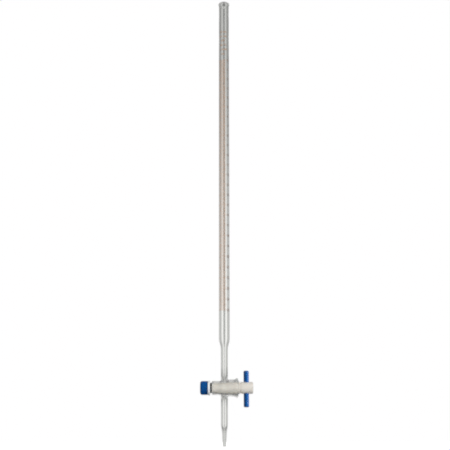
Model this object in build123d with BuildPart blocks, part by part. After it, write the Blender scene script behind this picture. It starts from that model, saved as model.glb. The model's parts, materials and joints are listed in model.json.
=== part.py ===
from build123d import *
import os
from math import pi

# A 25 mL burette with a straight-bore PTFE stopcock, in millimetres.
# Origin: the centre of the jet's end face. +Z runs up the tube, and +X runs along the stopcock
# from the lock nut to the handle. The stopcock is open: its cross bore is in line with the tube.

os.makedirs("parts", exist_ok=True)

# ---------------------------------------------------------------- driving dimensions
capacity = 25               # mL
tube_bore_d = 10.0
tube_wall = 1.25
arm_d = 8.0                 # lead tube and side arms
jet_d = 7.7                 # the straight part of the jet
arm_bore_d = 5.6
tip_d = 3.8
tip_bore_d = 1.2

axis_z = 64.0               # height of the stopcock's axis
jet_taper_top_z = 24.4
jet_stem_top_z = 48.0       # above this the jet widens to its fused joint with the side arm
shoulder_foot_z = 106.7
shoulder_top_z = 121.0
scale_foot_z = 152.0        # the lowest graduation, where the full capacity is delivered
headroom = 83.0             # from the zero line to the rim

barrel_small_d = 15.3
barrel_large_d = 18.4
barrel_rim_d = 21.6
barrel_left_x = -14.4
barrel_right_x = 16.0
arm_reach = 13.0            # from the stopcock's axis to the end of a side arm
arm_blend = 1.4             # fillet where a side arm meets the barrel

key_taper = 1 / 10          # change of diameter per length
key_large_d = 13.7          # at the barrel's large end
key_clearance = 0.05        # radial, between the key and the barrel
cross_bore_d = 2.0
key_neck_x = 17.7           # where the cone ends at the groove
key_head_x = 18.4
key_end_x = 32.5
head_d = 13.2
groove_d = 11.4
shank_d = 8.0               # outside diameter of the key's thread
shank_tip_x = -26.7
shank_across_flats = 6.0

thread_pitch = 1.5
thread_depth = 0.8
thread_clearance = 0.12

ring_inner_d = 8.4
ring_thick = 1.65           # along the axis, squeezed
ring_wide = 1.7             # across the axis, squeezed
washer_d = 16.4
washer_thick = 2.55
flat_clearance = 0.06
nut_d = 15.3
nut_thick = 8.7
rib_count = 30
rib_depth = 0.35

handle_d = 6.0
handle_length = 40.5
handle_x = 24.8
handle_drop = 1.2           # how far the handle's middle lies below the axis

# ---------------------------------------------------------------- worked out from these
volume_per_ml = 1000.0      # cubic millimetres
ml_height = volume_per_ml / (pi * (tube_bore_d / 2) ** 2)
rim_z = scale_foot_z + capacity * ml_height + headroom
tube_r = tube_bore_d / 2 + tube_wall
bore_r = tube_bore_d / 2
arm_r = arm_d / 2
arm_bore_r = arm_bore_d / 2
upper_arm_z = axis_z + arm_reach
lower_arm_z = axis_z - arm_reach

ring_gap = 0.05             # between the O-ring and its neighbours
washer_face_x = barrel_left_x - ring_thick - 2 * ring_gap
nut_face_x = washer_face_x - washer_thick
nut_end_x = nut_face_x - nut_thick

stopcock_axis = Axis((0, 0, axis_z), (1, 0, 0))
side_view = Plane.XZ        # its local x is X and its local y is Z


def key_radius(x):
    """Radius of the key's cone at a place along the stopcock."""
    return key_large_d / 2 - (barrel_right_x - x) * key_taper / 2


# ---------------------------------------------------------------- graduated tube
bead_r = tube_r + 0.7
bead_height = 3.6
bead_z = rim_z - 1.7        # the bead's widest ring
lip_r = bore_r + 0.75
shoulder_mid_z = (shoulder_foot_z + shoulder_top_z) / 2

with BuildPart() as graduated_tube:
    with BuildSketch(side_view):
        with BuildLine():
            Line((arm_bore_r, shoulder_foot_z), (arm_r, shoulder_foot_z))
            Bezier(
                (arm_r, shoulder_foot_z),
                (arm_r, shoulder_mid_z),
                (tube_r, shoulder_mid_z),
                (tube_r, shoulder_top_z),
            )
            Line((tube_r, shoulder_top_z), (tube_r, rim_z - bead_height))
            Spline(
                (tube_r, rim_z - bead_height),
                (bead_r, bead_z),
                (lip_r, rim_z),
                tangents=((0, 1), (-1, 0)),
            )
            Spline((lip_r, rim_z), (bore_r, bead_z), tangents=((-1, 0), (0, -1)))
            Line((bore_r, bead_z), (bore_r, shoulder_top_z))
            Bezier(
                (bore_r, shoulder_top_z),
                (bore_r, shoulder_mid_z),
                (arm_bore_r, shoulder_mid_z),
                (arm_bore_r, shoulder_foot_z),
            )
        make_face()
    revolve(axis=Axis.Z)
graduated_tube.part.label = "graduated_tube"

# ---------------------------------------------------------------- lead tube
with BuildPart() as lead_tube:
    with BuildSketch(Plane.XY.offset(upper_arm_z)):
        Circle(arm_r)
        Circle(arm_bore_r, mode=Mode.SUBTRACT)
    extrude(amount=shoulder_foot_z - upper_arm_z)
lead_tube.part.label = "lead_tube"

# ---------------------------------------------------------------- stopcock barrel
step_left_x = -6.5
step_right_x = -0.5
step_mid_x = (step_left_x + step_right_x) / 2
flare_left_x = 9.0
rim_x = 14.4                # the bead's widest ring
small_r = barrel_small_d / 2
large_r = barrel_large_d / 2
rim_r = barrel_rim_d / 2
mouth_r = key_radius(barrel_right_x) + key_clearance
tail_r = key_radius(barrel_left_x) + key_clearance
edge_round = 1.0
passage_r = 1.2             # through the barrel's wall
arm_funnel = 3.5            # where a side arm's bore widens to the tube's

with BuildPart() as stopcock_barrel:
    with BuildSketch(side_view):
        with BuildLine():
            Line((barrel_left_x, axis_z), (barrel_left_x, axis_z + small_r - edge_round))
            RadiusArc(
                (barrel_left_x, axis_z + small_r - edge_round),
                (barrel_left_x + edge_round, axis_z + small_r),
                edge_round,
            )
            Line((barrel_left_x + edge_round, axis_z + small_r), (step_left_x, axis_z + small_r))
            Bezier(
                (step_left_x, axis_z + small_r),
                (step_mid_x, axis_z + small_r),
                (step_mid_x, axis_z + large_r),
                (step_right_x, axis_z + large_r),
            )
            Line((step_right_x, axis_z + large_r), (flare_left_x, axis_z + large_r))
            Spline(
                (flare_left_x, axis_z + large_r),
                (rim_x, axis_z + rim_r),
                (barrel_right_x, axis_z + mouth_r + edge_round),
                tangents=((1, 0), (0, -1)),
            )
            Line((barrel_right_x, axis_z + mouth_r + edge_round), (barrel_right_x, axis_z))
            Line((barrel_right_x, axis_z), (barrel_left_x, axis_z))
        make_face()
    revolve(axis=stopcock_axis)
    with BuildSketch(Plane.XY.offset(lower_arm_z)):
        Circle(arm_r)
    extrude(amount=2 * arm_reach)
    arm_joins = edges(Select.NEW).filter_by(lambda edge: abs(edge.center().Z - axis_z) < large_r)
    fillet(arm_joins, arm_blend)
    with BuildSketch(side_view):
        Polygon(
            (barrel_left_x, axis_z),
            (barrel_left_x, axis_z + tail_r),
            (barrel_right_x, axis_z + mouth_r),
            (barrel_right_x, axis_z),
            align=None,
        )
    revolve(axis=stopcock_axis, mode=Mode.SUBTRACT)
    with BuildSketch(side_view):
        for side in (1, -1):
            Polygon(
                (0, axis_z),
                (passage_r, axis_z),
                (passage_r, axis_z + side * (arm_reach - arm_funnel)),
                (arm_bore_r, axis_z + side * arm_reach),
                (0, axis_z + side * arm_reach),
                align=None,
            )
    revolve(axis=Axis.Z, mode=Mode.SUBTRACT)
stopcock_barrel.part.label = "stopcock_barrel"

# ---------------------------------------------------------------- delivery jet
tip_r = tip_d / 2
tip_bore_r = tip_bore_d / 2
tip_straight = 3.0          # the tip's cylindrical end
jet_r = jet_d / 2
jet_bore_foot_z = 14.0      # where the bore reaches the tip's size
jet_joint_mid_z = (jet_stem_top_z + lower_arm_z) / 2

with BuildPart() as delivery_jet:
    with BuildSketch(side_view):
        with BuildLine():
            Line((tip_bore_r, 0), (tip_r, 0))
            Line((tip_r, 0), (tip_r, tip_straight))
            Spline(
                (tip_r, tip_straight),
                (2.3, 8.5),
                (2.7, 16.0),
                (jet_r, jet_taper_top_z),
                tangents=((0, 1), (0, 1)),
            )
            Line((jet_r, jet_taper_top_z), (jet_r, jet_stem_top_z))
            Bezier(
                (jet_r, jet_stem_top_z),
                (jet_r, jet_joint_mid_z),
                (arm_r, jet_joint_mid_z),
                (arm_r, lower_arm_z),
            )
            Line((arm_r, lower_arm_z), (arm_bore_r, lower_arm_z))
            Line((arm_bore_r, lower_arm_z), (arm_bore_r, jet_taper_top_z))
            Bezier(
                (arm_bore_r, jet_taper_top_z),
                (arm_bore_r, (jet_taper_top_z + jet_bore_foot_z) / 2),
                (tip_bore_r, (jet_taper_top_z + jet_bore_foot_z) / 2),
                (tip_bore_r, jet_bore_foot_z),
            )
            Line((tip_bore_r, jet_bore_foot_z), (tip_bore_r, 0))
        make_face()
    revolve(axis=Axis.Z)
delivery_jet.part.label = "delivery_jet"

# ---------------------------------------------------------------- screw thread
shank_r = shank_d / 2
core_r = shank_r - thread_depth
thread_start_x = -16.0
thread_root = 0.25          # how far the ridge is sunk in the core
ridge_root_half = 0.5       # half the ridge's width at the core
ridge_crest_half = 0.12


def screw_ridge(start_x, length, swell):
    """A right-hand helical ridge that runs towards -X, with every flank moved out by swell."""
    with BuildPart() as ridge:
        with BuildLine() as helix:
            Helix(
                pitch=thread_pitch,
                height=length,
                radius=core_r,
                center=(start_x, 0, axis_z),
                direction=(-1, 0, 0),
            )
        start = helix.line @ 0
        outward = Vector(0, start.Y, start.Z - axis_z)
        with BuildSketch(Plane(origin=start, x_dir=outward, z_dir=helix.line % 0)):
            Polygon(
                (-thread_root, -ridge_root_half - swell),
                (0, -ridge_root_half - swell),
                (thread_depth + swell, -ridge_crest_half - swell),
                (thread_depth + swell, ridge_crest_half + swell),
                (0, ridge_root_half + swell),
                (-thread_root, ridge_root_half + swell),
                align=None,
            )
        sweep(path=helix.line, is_frenet=True)
    return ridge.part


# ---------------------------------------------------------------- stopcock key
shank_top_x = -13.9         # where the cone ends and the shank starts
cone_end_r = key_radius(shank_top_x)
neck_r = key_radius(key_neck_x)
head_r = head_d / 2
groove_r = groove_d / 2
head_round = 1.6
tip_chamfer = 0.6
handle_r = handle_d / 2
flat_half = shank_across_flats / 2
key_ridge = screw_ridge(thread_start_x, thread_start_x - shank_tip_x, 0)

with BuildPart() as stopcock_key:
    with BuildSketch(Plane.YZ.offset(shank_tip_x)):
        with Locations((0, axis_z)):
            Circle(core_r)
    extrude(amount=shank_top_x - shank_tip_x)
    add(key_ridge)
    with BuildSketch(Plane.YZ.offset(shank_tip_x)):
        with Locations((0, axis_z)):
            Rectangle(3 * shank_r, shank_across_flats)
    extrude(amount=shank_top_x - shank_tip_x, mode=Mode.INTERSECT)
    with BuildSketch(side_view):
        with BuildLine():
            Polyline(
                (shank_top_x, axis_z),
                (shank_top_x, axis_z + cone_end_r),
                (key_neck_x, axis_z + neck_r),
                (key_neck_x, axis_z + groove_r),
                (key_head_x, axis_z + groove_r),
                (key_head_x, axis_z + head_r - head_round),
            )
            RadiusArc(
                (key_head_x, axis_z + head_r - head_round),
                (key_head_x + head_round, axis_z + head_r),
                head_round,
            )
            Line((key_head_x + head_round, axis_z + head_r), (key_end_x - head_round, axis_z + head_r))
            RadiusArc(
                (key_end_x - head_round, axis_z + head_r),
                (key_end_x, axis_z + head_r - head_round),
                head_round,
            )
            Polyline(
                (key_end_x, axis_z + head_r - head_round),
                (key_end_x, axis_z),
                (shank_top_x, axis_z),
            )
        make_face()
    revolve(axis=stopcock_axis)
    with Locations((0, 0, axis_z)):
        Cylinder(cross_bore_d / 2, key_large_d + 2, mode=Mode.SUBTRACT)
    with Locations((handle_x, 0, axis_z)):
        Cylinder(handle_r, head_d + 2, mode=Mode.SUBTRACT)
stopcock_key.part.label = "stopcock_key"

# ---------------------------------------------------------------- handle bar
handle_round = 1.3

with BuildPart() as handle_bar:
    with Locations((handle_x, 0, axis_z - handle_drop)):
        Cylinder(handle_r, handle_length)
    fillet(handle_bar.edges().filter_by(GeomType.CIRCLE), handle_round)
handle_bar.part.label = "handle_bar"

# ---------------------------------------------------------------- O-ring
with BuildPart() as o_ring:
    with BuildSketch(side_view):
        with Locations((barrel_left_x - ring_gap - ring_thick / 2, axis_z + (ring_inner_d + ring_wide) / 2)):
            Ellipse(ring_thick / 2, ring_wide / 2)
    revolve(axis=stopcock_axis)
o_ring.part.label = "o_ring"

# ---------------------------------------------------------------- thrust washer
washer_chamfer = 0.35

with BuildPart() as thrust_washer:
    with BuildSketch(Plane.YZ.offset(nut_face_x)):
        with Locations((0, axis_z)):
            Circle(washer_d / 2)
    extrude(amount=washer_thick)
    chamfer(thrust_washer.edges(), washer_chamfer)
    with BuildSketch(Plane.YZ.offset(nut_face_x)):
        with Locations((0, axis_z)):
            Circle(shank_r + thread_clearance)
            Rectangle(3 * shank_r, shank_across_flats + 2 * flat_clearance, mode=Mode.INTERSECT)
    extrude(amount=washer_thick, mode=Mode.SUBTRACT)
thrust_washer.part.label = "thrust_washer"

# ---------------------------------------------------------------- lock nut
nut_r = nut_d / 2
nut_round = 2.3             # at the outer end
nut_chamfer = 0.5           # at the washer
flute_r = 0.5
countersink_r = 5.2
countersink_depth = 1.2
nut_cut = screw_ridge(
    thread_start_x - thread_pitch,
    nut_thick + 4 * thread_pitch,
    thread_clearance,
)

with BuildPart() as lock_nut:
    with BuildSketch(side_view):
        with BuildLine():
            Polyline(
                (nut_end_x + countersink_depth, axis_z + core_r + thread_clearance),
                (nut_end_x, axis_z + countersink_r),
                (nut_end_x, axis_z + nut_r - nut_round),
            )
            RadiusArc(
                (nut_end_x, axis_z + nut_r - nut_round),
                (nut_end_x + nut_round, axis_z + nut_r),
                nut_round,
            )
            Polyline(
                (nut_end_x + nut_round, axis_z + nut_r),
                (nut_face_x - nut_chamfer, axis_z + nut_r),
                (nut_face_x, axis_z + nut_r - nut_chamfer),
                (nut_face_x, axis_z + core_r + thread_clearance),
                (nut_end_x + countersink_depth, axis_z + core_r + thread_clearance),
            )
        make_face()
    revolve(axis=stopcock_axis)
    with BuildSketch(Plane.YZ.offset(nut_end_x)):
        with Locations((0, axis_z)):
            with PolarLocations(nut_r + flute_r - rib_depth, rib_count):
                Circle(flute_r)
    extrude(amount=nut_thick, mode=Mode.SUBTRACT)
    add(nut_cut, mode=Mode.SUBTRACT)
lock_nut.part.label = "lock_nut"

# ---------------------------------------------------------------- files
pieces = (
    graduated_tube,
    lead_tube,
    stopcock_barrel,
    delivery_jet,
    stopcock_key,
    handle_bar,
    o_ring,
    thrust_washer,
    lock_nut,
)
for piece in pieces:
    export_step(piece.part, "parts/" + piece.part.label + ".step")
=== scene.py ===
import json
from math import atan2, cos, dist, pi, radians, sin

import bmesh
import bpy
from mathutils import Matrix, Vector


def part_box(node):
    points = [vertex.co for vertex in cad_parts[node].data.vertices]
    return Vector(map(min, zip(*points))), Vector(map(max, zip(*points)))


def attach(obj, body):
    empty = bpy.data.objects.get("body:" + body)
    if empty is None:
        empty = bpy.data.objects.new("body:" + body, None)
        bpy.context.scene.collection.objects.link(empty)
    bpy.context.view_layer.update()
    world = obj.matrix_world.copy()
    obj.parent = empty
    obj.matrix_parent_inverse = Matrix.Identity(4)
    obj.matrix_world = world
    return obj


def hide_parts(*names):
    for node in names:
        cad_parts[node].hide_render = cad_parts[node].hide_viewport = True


# A 25 mL burette with a straight-bore PTFE stopcock. Everything is in metres, in the CAD model's
# frame: the origin is the centre of the jet's end face, +Z runs up the tube and +X to the handle.
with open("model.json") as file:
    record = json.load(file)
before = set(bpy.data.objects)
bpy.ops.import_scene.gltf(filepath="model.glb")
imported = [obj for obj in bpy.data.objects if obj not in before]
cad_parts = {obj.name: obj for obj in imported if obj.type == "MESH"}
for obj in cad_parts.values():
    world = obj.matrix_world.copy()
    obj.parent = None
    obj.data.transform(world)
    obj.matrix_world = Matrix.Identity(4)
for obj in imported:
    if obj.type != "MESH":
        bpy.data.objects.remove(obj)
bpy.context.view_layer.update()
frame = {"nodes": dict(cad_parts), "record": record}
nodes = frame["nodes"]
scene = bpy.context.scene
MM = 0.001
WELD = 1e-6                 # points closer than this are one point
SEGMENTS = 128              # points round a tube
RING_GAP = 0.1 * MM         # rings of a tube's skin are no closer than this
LEVEL_FACE = 0.02           # a face that faces the axis, or away from it, less than this is level
SHARP = radians(40)         # an edge that bends more than this is a real edge


# ---------------------------------------------------------------- mesh helpers
def new_piece(name, mesh, body, material):
    """Adds a visual piece, which rides on a CAD body."""
    piece = bpy.data.objects.new(name, mesh)
    scene.collection.objects.link(piece)
    mesh.materials.append(material)
    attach(piece, body)
    return piece


def to_mesh(bm, name):
    """Turns a bmesh into a mesh."""
    mesh = bpy.data.meshes.new(name)
    bm.to_mesh(mesh)
    bm.free()
    return mesh


def smooth_mesh(bm, name):
    """Turns a closed bmesh into a mesh that faces outwards, smooth-shaded but for its real edges."""
    bmesh.ops.recalc_face_normals(bm, faces=bm.faces)
    if bm.calc_volume(signed=True) < 0:
        bmesh.ops.reverse_faces(bm, faces=bm.faces)
    mesh = to_mesh(bm, name)
    mesh.shade_smooth()
    mesh.set_sharp_from_angle(angle=SHARP)
    return mesh


def skin(node, side):
    """The (height, radius) rings of a CAD node turned about Z, from its foot up, at least RING_GAP
    apart: side is 1 for its outer skin and -1 for its inner one."""
    mesh = nodes[node].data
    rings = {}
    for face in mesh.polygons:
        facing = Vector(face.normal.xy).dot(face.center.xy.normalized())
        if facing * side < LEVEL_FACE:
            continue
        for index in face.vertices:
            point = mesh.vertices[index].co
            rings[round(point.z, 6)] = point.xy.length
    first, *others, last = sorted(rings.items())
    kept = [first]
    for ring in others:
        if min(dist(ring, kept[-1]), dist(ring, last)) > RING_GAP:
            kept.append(ring)
    return [*kept, last]


def around(points):
    """Points in order of their angle round Z."""
    return sorted(points, key=lambda v: atan2(v.co.y, v.co.x))


def new_rim(bm, height, radius):
    """A round rim of evenly spaced points."""
    angles = (2 * pi * i / SEGMENTS for i in range(SEGMENTS))
    return around([bm.verts.new((radius * cos(a), radius * sin(a), height)) for a in angles])


def join_rims(bm, *rims):
    """Closes the gap between two round rims, walking round both together by angle."""
    beyond = 4 * pi             # further round than any step of a rim that isn't finished

    def next_angle(rim, step):
        if step == len(rim):
            return beyond
        turns, index = divmod(step + 1, len(rim))
        return atan2(rim[index].co.y, rim[index].co.x) + 2 * pi * turns

    steps = [0, 0]
    while steps != [len(rim) for rim in rims]:
        corners = [rim[step % len(rim)] for rim, step in zip(rims, steps)]
        ahead = [next_angle(rim, step) for rim, step in zip(rims, steps)]
        side = ahead.index(min(ahead))
        steps[side] += 1
        bm.faces.new((*corners, rims[side][steps[side] % len(rims[side])]))


def grow(bm, rim, rings):
    """Carries a rim along rings of given height and radius."""
    for height, radius in rings:
        carried = new_rim(bm, height, radius)
        if len(rim) == len(carried):
            for i in range(len(rim)):
                bm.faces.new((rim[i - 1], rim[i], carried[i], carried[i - 1]))
        else:
            join_rims(bm, rim, carried)
        rim = carried
    return rim


# ---------------------------------------------------------------- materials
class Finish:
    """A Principled material with short ways to add its procedural detail."""

    def __init__(self, name):
        self.material = bpy.data.materials.new(name)
        self.material.use_nodes = True
        self.tree = self.material.node_tree
        self.shader = self.tree.nodes["Principled BSDF"]
        self.place = self.add("ShaderNodeTexCoord").outputs["Object"]

    def add(self, kind, **values):
        """Adds a node and sets its named inputs."""
        node = self.tree.nodes.new(kind)
        for key, value in values.items():
            node.inputs[key.replace("_", " ")].default_value = value
        return node

    def link(self, output, target):
        self.tree.links.new(output, target)

    def set(self, **values):
        for key, value in values.items():
            self.shader.inputs[key.replace("_", " ")].default_value = value

    def noise(self, size, detail=4.0, stretch=(1, 1, 1)):
        """Noise with grains about size metres across, longer along an axis with a small stretch."""
        mapping = self.add("ShaderNodeMapping")
        mapping.inputs["Scale"].default_value = stretch
        self.link(self.place, mapping.inputs["Vector"])
        noise = self.add("ShaderNodeTexNoise", Scale=1 / size, Detail=detail)
        self.link(mapping.outputs["Vector"], noise.inputs["Vector"])
        return noise.outputs["Fac"]

    def ramp(self, factor, stops):
        """A colour ramp between (position, colour) stops."""
        node = self.add("ShaderNodeValToRGB")
        self.link(factor, node.inputs["Fac"])
        elements = node.color_ramp.elements
        for element, (position, colour) in zip(elements, stops):
            element.position = position
            element.color = (*colour, 1)
        return node.outputs["Color"]

    def spread(self, factor, low, high):
        """Maps a factor between 0.3 and 0.7 to low and high."""
        node = self.add("ShaderNodeMapRange")
        self.link(factor, node.inputs["Value"])
        node.inputs["From Min"].default_value = 0.3
        node.inputs["From Max"].default_value = 0.7
        node.inputs["To Min"].default_value = low
        node.inputs["To Max"].default_value = high
        return node.outputs["Result"]

    def bump(self, factor, height):
        """Raises the surface by up to height metres, on top of any earlier bump."""
        node = self.add("ShaderNodeBump")
        node.inputs["Strength"].default_value = 1.0
        node.inputs["Distance"].default_value = height
        self.link(factor, node.inputs["Height"])
        earlier = self.shader.inputs["Normal"].links
        if earlier:
            self.link(earlier[0].from_socket, node.inputs["Normal"])
        self.link(node.outputs["Normal"], self.shader.inputs["Normal"])


def clear_glass():
    """Borosilicate glass: clear and fire-polished."""
    finish = Finish("clear_glass")
    finish.set(
        Base_Color=(0.985, 0.99, 0.985, 1), Roughness=0.0, IOR=1.473, Transmission_Weight=1.0
    )
    return finish.material


def amber_stain(name, deep, pale):
    """The brown stain of the graduations, a little uneven as it is fired in."""
    finish = Finish(name)
    patches = finish.noise(0.9 * MM)
    colour = finish.ramp(patches, ((0.3, deep), (0.7, pale)))
    finish.link(colour, finish.shader.inputs["Base Color"])
    finish.link(finish.spread(patches, 0.45, 0.65), finish.shader.inputs["Roughness"])
    return finish.material


def ptfe(name, pale, deep):
    """Machined PTFE: waxy and slightly translucent, with faint turning marks round the X axis."""
    finish = Finish(name)
    clouds = finish.noise(6 * MM)
    colour = finish.ramp(clouds, ((0.3, deep), (0.7, pale)))
    finish.link(colour, finish.shader.inputs["Base Color"])
    finish.link(finish.spread(finish.noise(1.5 * MM), 0.38, 0.52), finish.shader.inputs["Roughness"])
    turning = finish.noise(0.25 * MM, detail=2.0, stretch=(1, 0.02, 0.02))
    finish.bump(turning, 0.004 * MM)
    finish.set(
        Subsurface_Weight=0.25,
        Subsurface_Scale=1.2 * MM,
        Subsurface_Radius=(1.0, 0.9, 0.8),
        IOR=1.36,
    )
    return finish.material


def blue_plastic():
    """Moulded blue polypropylene, semi-gloss with a faint orange-peel."""
    finish = Finish("blue_plastic")
    clouds = finish.noise(4 * MM)
    colour = finish.ramp(clouds, ((0.3, (0.0012, 0.042, 0.16)), (0.7, (0.002, 0.052, 0.19))))
    finish.link(colour, finish.shader.inputs["Base Color"])
    finish.link(finish.spread(finish.noise(1.2 * MM), 0.11, 0.17), finish.shader.inputs["Roughness"])
    finish.bump(finish.noise(0.9 * MM, detail=2.0), 0.003 * MM)
    finish.set(IOR=1.49, Specular_IOR_Level=0.07)
    return finish.material


def seal_rubber():
    """Black nitrile rubber with a light mould texture and a trace of bloom."""
    finish = Finish("seal_rubber")
    bloom = finish.noise(1.5 * MM)
    colour = finish.ramp(bloom, ((0.35, (0.003, 0.003, 0.003)), (0.75, (0.008, 0.008, 0.0085))))
    finish.link(colour, finish.shader.inputs["Base Color"])
    finish.set(Specular_IOR_Level=0.15)
    finish.link(finish.spread(finish.noise(0.7 * MM), 0.38, 0.55), finish.shader.inputs["Roughness"])
    finish.bump(finish.noise(0.3 * MM), 0.004 * MM)
    return finish.material


glass = clear_glass()
line_stain = amber_stain("line_stain", (0.50, 0.22, 0.07), (0.66, 0.32, 0.11))
number_stain = amber_stain("number_stain", (0.16, 0.07, 0.035), (0.26, 0.12, 0.06))
mark_stain = amber_stain("mark_stain", (0.38, 0.20, 0.10), (0.50, 0.28, 0.14))
key_ptfe = ptfe("key_ptfe", (0.81, 0.775, 0.725), (0.78, 0.74, 0.685))
washer_ptfe = ptfe("washer_ptfe", (0.91, 0.93, 0.95), (0.88, 0.90, 0.93))
blue = blue_plastic()
rubber = seal_rubber()

node_finishes = {
    "stopcock_key": key_ptfe,
    "thrust_washer": washer_ptfe,
    "o_ring": rubber,
    "handle_bar": blue,
    "lock_nut": blue,
}
for node, material in node_finishes.items():
    nodes[node].material_slots[0].material = material


# ---------------------------------------------------------------- glass
def fused_glass():
    """The four glass pieces as the one fused body that they are: the barrel with its two side arms,
    whose open ends are carried on as the lead tube and graduated tube above and the jet below."""
    bm = bmesh.new()
    bm.from_mesh(nodes["stopcock_barrel"].data)
    bmesh.ops.remove_doubles(bm, verts=bm.verts, dist=WELD)
    foot, head = (corner.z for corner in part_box("stopcock_barrel"))
    middle = (foot + head) / 2
    ends = [f for f in bm.faces if all(min(v.co.z - foot, head - v.co.z) < WELD for v in f.verts)]
    bmesh.ops.delete(bm, geom=ends, context="FACES")
    open_points = {v for edge in bm.edges if edge.is_boundary for v in edge.verts}
    # A radius between an arm's bore and its outside.
    mid_wall = 0.75 * max(v.co.xy.length for v in open_points)

    def open_rim(above, outer):
        half = (v for v in open_points if (v.co.z > middle) == above)
        return around([v for v in half if (v.co.xy.length > mid_wall) == outer])

    for above in (True, False):
        rims = []
        for outer, side in ((True, 1), (False, -1)):
            if above:
                rings = skin("lead_tube", side)[1:] + skin("graduated_tube", side)[1:]
                if not outer:
                    rings.pop()         # both skins end on the mouth's highest ring
            else:
                rings = skin("delivery_jet", side)[-2::-1]
            # An arm's rim has uneven points, so an even rim follows it while the tube is straight.
            rim = open_rim(above, outer)
            start = rim[0].co
            rings.insert(0, ((start.z + rings[0][0]) / 2, start.xy.length))
            rims.append(grow(bm, rim, rings))
        join_rims(bm, *rims)
    return smooth_mesh(bm, "burette_glass")


burette_glass = new_piece("burette_glass", fused_glass(), "glass", glass)
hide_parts("graduated_tube", "lead_tube", "stopcock_barrel", "delivery_jet")

# ---------------------------------------------------------------- graduations
capacity = 25
mouth = next(m for m in frame["record"]["mounts"] if m["name"] == "mouth")
bore_r = mouth["dims"]["r_mm"] * MM
millilitre = 1e-6 / (pi * bore_r**2)
scale_foot = 152.0 * MM
shoulder_head = 120 * MM
tube_r = next(radius for height, radius in skin("graduated_tube", 1) if height > shoulder_head)
stain_lift = 0.004 * MM
stain_thick = 0.02 * MM
arc_step = 6                    # degrees between a line's points
number_size, number_angle = 4.2 * MM, 48
mark_size, mark_angle = 3.8 * MM, -10
mark_top = 510 * MM
mark_spacing = 6.2 * MM
mark_words = ("25 mL", "0.1 mL", "EX", "20 \u00b0C", "\u00b1 0.05", "mL")


def on_tube(angle, height, lift):
    """A point on the tube's outside. The angle runs from the front, -Y, towards the handle, +X."""
    radius = tube_r + lift
    return (radius * sin(angle), -radius * cos(angle), height)


def arc_mark(bm, height, width, start, end):
    """One graduation: a thin closed strip round the tube between two angles in degrees."""
    steps = max(2, round((end - start) / arc_step))
    previous = None
    for i in range(steps + 1):
        angle = radians(start + (end - start) * i / steps)
        corners = [
            bm.verts.new(on_tube(angle, height + rise, lift))
            for rise, lift in (
                (-width / 2, stain_lift),
                (width / 2, stain_lift),
                (width / 2, stain_lift + stain_thick),
                (-width / 2, stain_lift + stain_thick),
            )
        ]
        if previous:
            for j in range(4):
                k = (j + 1) % 4
                bm.faces.new((previous[j], previous[k], corners[k], corners[j]))
        else:
            bm.faces.new(corners)
        previous = corners
    bm.faces.new(previous[::-1])


def graduation_mesh():
    """A line for each tenth of a millilitre, longer at each half and longest at each whole one."""
    bm = bmesh.new()
    for tenth in range(10 * capacity + 1):
        height = scale_foot + (capacity - tenth / 10) * millilitre
        if tenth % 10 == 0:
            arc_mark(bm, height, 0.36 * MM, -80, 24)
        elif tenth % 5 == 0:
            arc_mark(bm, height, 0.30 * MM, -72, 20)
        else:
            arc_mark(bm, height, 0.30 * MM, -64, 16)
    return smooth_mesh(bm, "graduation_lines")


def add_text(bm, words, size, angle, height):
    """Lays a line of text round the tube, with its middle at an angle in degrees and a height."""
    curve = bpy.data.curves.new("words", "FONT")
    curve.body = words
    curve.size = size
    curve.offset = 0.08 * MM
    curve.align_x = "CENTER"
    curve.align_y = "CENTER"
    curve.extrude = stain_thick / 2
    curve.resolution_u = 3
    text = bpy.data.objects.new("words", curve)
    mesh = bpy.data.meshes.new_from_object(text)
    for point in mesh.vertices:
        lift = stain_lift + stain_thick / 2 + point.co.z
        point.co = on_tube(radians(angle) + point.co.x / tube_r, height + point.co.y, lift)
    bm.from_mesh(mesh)
    bpy.data.objects.remove(text)
    bpy.data.curves.remove(curve)
    bpy.data.meshes.remove(mesh)


def number_mesh():
    """The numbers 0 to 25, each at the right-hand end of its long line."""
    bm = bmesh.new()
    for value in range(capacity + 1):
        height = scale_foot + (capacity - value) * millilitre
        add_text(bm, str(value), number_size, number_angle, height)
    bmesh.ops.remove_doubles(bm, verts=bm.verts, dist=WELD)
    return smooth_mesh(bm, "graduation_numbers")


def capacity_mesh():
    """The generic marks above the scale: capacity, division, delivery, temperature and tolerance."""
    bm = bmesh.new()
    for line, words in enumerate(mark_words):
        add_text(bm, words, mark_size, mark_angle, mark_top - line * mark_spacing)
    bmesh.ops.remove_doubles(bm, verts=bm.verts, dist=WELD)
    return smooth_mesh(bm, "capacity_marks")


marks = [
    new_piece("graduation_lines", graduation_mesh(), "glass", line_stain),
    new_piece("graduation_numbers", number_mesh(), "glass", number_stain),
    new_piece("capacity_marks", capacity_mesh(), "glass", mark_stain),
]


# ---------------------------------------------------------------- floor, light and camera
def floor_mesh(radius):
    """A flat disc."""
    bm = bmesh.new()
    bmesh.ops.create_circle(bm, cap_ends=True, segments=96, radius=radius)
    return to_mesh(bm, "floor")


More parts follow.
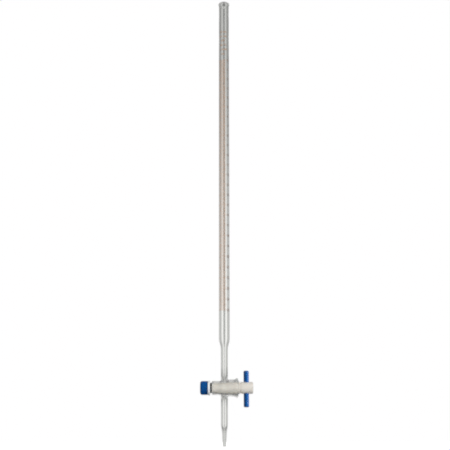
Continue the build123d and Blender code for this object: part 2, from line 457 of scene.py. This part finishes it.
def pale_floor():
    """Matt pale floor with a painted glow that grows away from the object, so that it fades into the
    white backdrop a little way from it.
    """
    finish = Finish("pale_floor")
    colour = finish.ramp(finish.noise(0.4), ((0.3, (0.88, 0.88, 0.88)), (0.7, (0.91, 0.91, 0.91))))
    finish.link(colour, finish.shader.inputs["Base Color"])
    finish.set(Roughness=0.9, Emission_Color=(1, 1, 1, 1))
    distance = finish.add("ShaderNodeVectorMath")
    distance.operation = "LENGTH"
    finish.link(finish.place, distance.inputs[0])
    # Painted glow: the floor's emission grows from none near the object to 0.8 far out, brightening
    # it to white.
    painted_glow = finish.add("ShaderNodeMapRange")
    painted_glow.interpolation_type = "SMOOTHSTEP"
    painted_glow.inputs["From Min"].default_value = 0.1
    painted_glow.inputs["From Max"].default_value = 1.6
    painted_glow.inputs["To Max"].default_value = 0.8
    finish.link(distance.outputs["Value"], painted_glow.inputs["Value"])
    finish.link(painted_glow.outputs["Result"], finish.shader.inputs["Emission Strength"])
    return finish.material


floor_drop = 0.15               # from the jet's end down to the floor, as if a clamp held the tube
floor_radius = 40.0
floor = bpy.data.objects.new("floor", floor_mesh(floor_radius))
floor.data.materials.append(pale_floor())
floor.location.z = -floor_drop
# The floor is there for the camera alone, and throws no light on the pieces or through the glass.
floor.visible_diffuse = False
floor.visible_glossy = False
floor.visible_transmission = False
scene.collection.objects.link(floor)


def softbox(name, bearing, distance, low, high, width, radiance, pieces):
    """A soft light from low to high that faces the tube and lights only the given pieces. The bearing
    runs in degrees from the front, -Y, towards +X."""
    light = bpy.data.lights.new(name, "AREA")
    light.shape = "RECTANGLE"
    light.size, light.size_y = width, high - low
    light.energy = radiance * pi * width * (high - low)
    lamp = bpy.data.objects.new(name, light)
    angle = radians(bearing)
    lamp.location = (distance * sin(angle), -distance * cos(angle), (low + high) / 2)
    lamp.rotation_euler = (radians(90), 0, angle)
    lamp.visible_camera = False
    scene.collection.objects.link(lamp)
    lit = bpy.data.collections.new(name)
    for piece in pieces:
        lit.objects.link(piece)
    lamp.light_linking.receiver_collection = lit
    return lamp


blue_pieces = [nodes["handle_bar"], nodes["lock_nut"]]
pale_pieces = [nodes["stopcock_key"], nodes["thrust_washer"], nodes["o_ring"], floor, *marks]
softbox(
    "key_softbox", bearing=38, distance=1.2, low=0.0, high=0.7, width=0.3, radiance=6.5,
    pieces=pale_pieces,
)
softbox(
    "blue_softbox", bearing=66, distance=1.2, low=0.0, high=0.7, width=0.8, radiance=21,
    pieces=blue_pieces,
)
top = softbox(
    "top_softbox", bearing=0, distance=0.3, low=1.6, high=2.6, width=1.0, radiance=0.6,
    pieces=pale_pieces + blue_pieces,
)
top.rotation_euler = (radians(20), 0, 0)    # it faces down


class Studio:
    """The world's nodes: grey surroundings by direction, which light the glass, and a white backdrop
    where the camera looks straight at it."""

    def __init__(self):
        world = bpy.data.worlds.new("studio")
        scene.world = world
        world.use_nodes = True
        self.tree = world.node_tree
        self.tree.nodes.clear()
        place = self.tree.nodes.new("ShaderNodeTexCoord")
        split = self.tree.nodes.new("ShaderNodeSeparateXYZ")
        self.tree.links.new(place.outputs["Generated"], split.inputs["Vector"])
        self.x, self.y, self.z = split.outputs

    def math(self, operation, *values):
        """A maths node over sockets and numbers."""
        node = self.tree.nodes.new("ShaderNodeMath")
        node.operation = operation
        for value, target in zip(values, node.inputs):
            if isinstance(value, (int, float)):
                target.default_value = value
            else:
                self.tree.links.new(value, target)
        return node.outputs["Value"]

    def curve(self, value, *points):
        """A value that runs through (position, level) points."""
        node = self.tree.nodes.new("ShaderNodeFloatCurve")
        self.tree.links.new(value, node.inputs["Value"])
        mapping = node.mapping
        mapping.clip_min_x, mapping.clip_max_x = -1, 1
        mapping.clip_min_y, mapping.clip_max_y = 0, 3
        line = mapping.curves[0]
        while len(line.points) > 2:
            line.points.remove(line.points[-1])
        for i, (position, level) in enumerate(points):
            point = line.points[i] if i < 2 else line.points.new(position, level)
            point.location = (position, level)
        for point in line.points:
            point.handle_type = "VECTOR"
        mapping.update()
        return node.outputs["Value"]

    def finish(self, strength):
        """Lights the scene with the surroundings' strength and ends the node tree."""
        studio = self.tree.nodes.new("ShaderNodeBackground")
        backdrop = self.tree.nodes.new("ShaderNodeBackground")
        path = self.tree.nodes.new("ShaderNodeLightPath")
        mix = self.tree.nodes.new("ShaderNodeMixShader")
        output = self.tree.nodes.new("ShaderNodeOutputWorld")
        studio.inputs["Color"].default_value = (1, 1, 0.975, 1)
        backdrop.inputs["Color"].default_value = (1, 1, 1, 1)
        self.tree.links.new(strength, studio.inputs["Strength"])
        self.tree.links.new(path.outputs["Is Camera Ray"], mix.inputs["Fac"])
        self.tree.links.new(studio.outputs["Background"], mix.inputs[1])
        self.tree.links.new(backdrop.outputs["Background"], mix.inputs[2])
        self.tree.links.new(mix.outputs["Shader"], output.inputs["Surface"])


# Level is the brightness by height. Strips are brighter bands left and right of the middle, which
# make the tube's light lines. Front is light from behind the camera, which lean makes stronger from
# the left.
studio = Studio()
level = studio.curve(
    studio.z,
    (-1, 0.08),
    (-0.62, 0.08),
    (-0.52, 0.30),
    (-0.2, 0.30),
    (0, 0.46),
    (0.15, 0.46),
    (0.3, 0.40),
    (0.4, 0.33),
    (0.5, 0.27),
    (1, 0.27),
)
strips = studio.curve(
    studio.x,
    (-1, 1.25),
    (-0.15, 1.0),
    (-0.11, 2.0),
    (-0.045, 2.0),
    (-0.015, 0.56),
    (0.015, 0.56),
    (0.045, 2.1),
    (0.11, 2.1),
    (0.15, 1.0),
    (1, 1.25),
)
front = studio.math("MAXIMUM", studio.math("MULTIPLY", studio.y, -0.85), 0)
lean = studio.math("MULTIPLY_ADD", studio.x, -0.3, 0.7)
surroundings = studio.math("MULTIPLY_ADD", front, lean, studio.math("MULTIPLY", level, strips))
studio.finish(surroundings)

scene.view_settings.view_transform = "Standard"
scene.cycles.blur_glossy = 0    # the light that reaches the key through the glass stays unfiltered
scene.cycles.denoising_input_passes = "RGB_ALBEDO"
bounces = 32                    # enough for light that is held inside the glass
scene.cycles.max_bounces = scene.cycles.glossy_bounces = scene.cycles.transmission_bounces = bounces
scene.cycles.filter_width = 2.0     # as soft as the photograph

camera = bpy.data.cameras.new("camera")
camera.sensor_width = 36
camera.lens = 62.2
camera_object = bpy.data.objects.new("camera", camera)
camera_object.location = (0.0010, -0.8986, 0.008)
tilt_up = Matrix.Rotation(radians(90 + 15.4), 3, "X")
roll = Matrix.Rotation(radians(-0.1), 3, "Z")
camera_object.rotation_euler = (tilt_up @ roll).to_euler()
scene.collection.objects.link(camera_object)
scene.camera = camera_object
